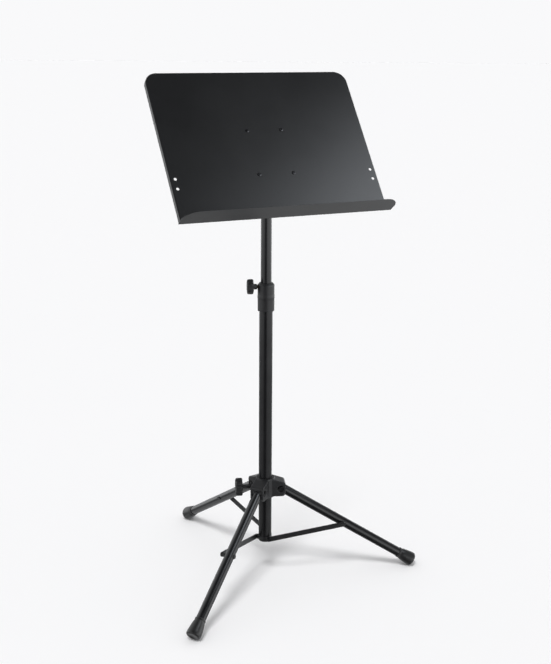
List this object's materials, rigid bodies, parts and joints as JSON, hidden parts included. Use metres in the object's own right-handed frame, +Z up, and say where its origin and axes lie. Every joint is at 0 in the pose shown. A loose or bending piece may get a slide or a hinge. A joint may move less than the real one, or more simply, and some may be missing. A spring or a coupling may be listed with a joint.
{
  "type": "music stand",
  "caption": "Folding music stand: a tilting bent-sheet desk with a deep ledge on a clamped telescopic column, above a tripod whose strutted legs fold with a sliding hub.",
  "frame": {"origin": "on the floor, under the axis of the column", "axes": "+Z up along the column; +X along the width of the desk, to the reader's right; -Y towards the reader"},
  "size_m": [0.6625, 0.6337, 1.2165],
  "materials": {
    "desk_paint": "fine textured black powder coat, satin",
    "bracket_paint": "black powder coat, satin",
    "tube_paint": "smooth black powder coat, semi-gloss",
    "strut_paint": "black powder coat, satin",
    "hub_plastic": "moulded black, fine texture",
    "knob_plastic": "moulded black, fine texture",
    "foot_rubber": "matt black",
    "nylon": "black, self-coloured",
    "screw_steel": "black-plated steel",
    "rivet_black": "black",
    "zinc_steel": "zinc-plated",
    "brass": "turned"
  },
  "bodies": {
    "column": {"lower_tube": "tube_paint", "foot_bracket": "hub_plastic", "strut_pins": "zinc_steel", "height_collar": "hub_plastic", "collar_bush": "hub_plastic", "height_insert": "brass", "height_shoe": "nylon"},
    "hub": {"hub_casting": "hub_plastic", "hub_liner": "nylon", "leg_bolts": "zinc_steel", "leg_nuts": "zinc_steel", "hub_insert": "brass", "hub_shoe": "nylon"},
    "hub_clamp": {"hub_knob": "knob_plastic", "hub_stud": "zinc_steel"},
    "height_clamp": {"height_knob": "knob_plastic", "height_stud": "zinc_steel"},
    "leg_right": {"leg_tube_right": "tube_paint", "leg_knuckle_right": "hub_plastic", "foot_cap_right": "foot_rubber", "spreader_rivet_right": "rivet_black"},
    "strut_right": {"strut_right": "strut_paint", "strut_rivet_right": "rivet_black"},
    "leg_back": {"leg_tube_back": "tube_paint", "leg_knuckle_back": "hub_plastic", "foot_cap_back": "foot_rubber", "spreader_rivet_back": "rivet_black"},
    "strut_back": {"strut_back": "strut_paint", "strut_rivet_back": "rivet_black"},
    "leg_front": {"leg_tube_front": "tube_paint", "leg_knuckle_front": "hub_plastic", "foot_cap_front": "foot_rubber", "spreader_rivet_front": "rivet_black"},
    "strut_front": {"strut_front": "strut_paint", "strut_rivet_front": "rivet_black"},
    "guide": {"guide_bush": "nylon"},
    "post": {"upper_tube": "tube_paint", "tube_plug": "nylon", "tilt_head": "hub_plastic"},
    "desk": {"desk": "desk_paint", "desk_bracket": "bracket_paint", "desk_screws": "screw_steel", "desk_nuts": "screw_steel", "tilt_bolt": "screw_steel", "friction_washers": "nylon"},
    "tilt_clamp": {"tilt_knob": "knob_plastic"}
  },
  "joints": [
    {"name": "hub_slide", "type": "slide", "parent": "column", "child": "hub", "axis": [0, 0, 1], "range_m": [0, 0.24]},
    {"name": "leg_fold_right", "type": "hinge", "parent": "hub", "child": "leg_right", "pos_m": [0.03467, -0.01262, 0.2245], "axis": [0.342, 0.9397, 0], "range_deg": [0, 58]},
    {"name": "leg_fold_back", "type": "hinge", "parent": "hub", "child": "leg_back", "pos_m": [-0.00641, 0.03634, 0.2245], "axis": [-0.9848, -0.1736, 0], "range_deg": [0, 58]},
    {"name": "leg_fold_front", "type": "hinge", "parent": "hub", "child": "leg_front", "pos_m": [-0.02827, -0.02372, 0.2245], "axis": [0.6428, -0.766, 0], "range_deg": [0, 58]},
    {"name": "strut_fold_right", "type": "hinge", "parent": "column", "child": "strut_right", "pos_m": [0.00092, -0.02087, 0.092], "axis": [-0.342, -0.9397, 0], "range_deg": [0, 70.9]},
    {"name": "strut_fold_back", "type": "hinge", "parent": "column", "child": "strut_back", "pos_m": [0.01762, 0.01123, 0.092], "axis": [0.9848, 0.1736, 0], "range_deg": [0, 70.9]},
    {"name": "strut_fold_front", "type": "hinge", "parent": "column", "child": "strut_front", "pos_m": [-0.01853, 0.00964, 0.092], "axis": [-0.6428, 0.766, 0], "range_deg": [0, 70.9]},
    {"name": "height_slide", "type": "slide", "parent": "column", "child": "guide", "axis": [0, 0, 1], "range_m": [-0.215, 0.2]},
    {"name": "post_swivel", "type": "hinge", "parent": "guide", "child": "post", "pos_m": [0, 0, 0.7], "axis": [0, 0, 1], "continuous": true},
    {"name": "desk_tilt", "type": "hinge", "parent": "post", "child": "desk", "pos_m": [0, 0, 1.032], "axis": [-1, 0, 0], "range_deg": [-36, 53.5]},
    {"name": "height_clamp_turn", "type": "hinge", "parent": "column", "child": "height_clamp", "pos_m": [-0.02725, 0.00992, 0.731], "axis": [-0.9397, 0.342, 0], "continuous": true},
    {"name": "hub_clamp_turn", "type": "hinge", "parent": "hub", "child": "hub_clamp", "pos_m": [-0.05074, 0.01847, 0.227], "axis": [-0.9397, 0.342, 0], "continuous": true},
    {"name": "tilt_clamp_turn", "type": "hinge", "parent": "desk", "child": "tilt_clamp", "pos_m": [0.021, 0, 1.032], "axis": [1, 0, 0], "continuous": true}
  ],
  "couplings": [
    {"joint": "leg_fold_right", "follows": "hub_slide", "rad_per_m": 4.213},
    {"joint": "leg_fold_back", "follows": "hub_slide", "rad_per_m": 4.213},
    {"joint": "leg_fold_front", "follows": "hub_slide", "rad_per_m": 4.213},
    {"joint": "strut_fold_right", "follows": "hub_slide", "rad_per_m": 5.152},
    {"joint": "strut_fold_back", "follows": "hub_slide", "rad_per_m": 5.152},
    {"joint": "strut_fold_front", "follows": "hub_slide", "rad_per_m": 5.152}
  ]
}
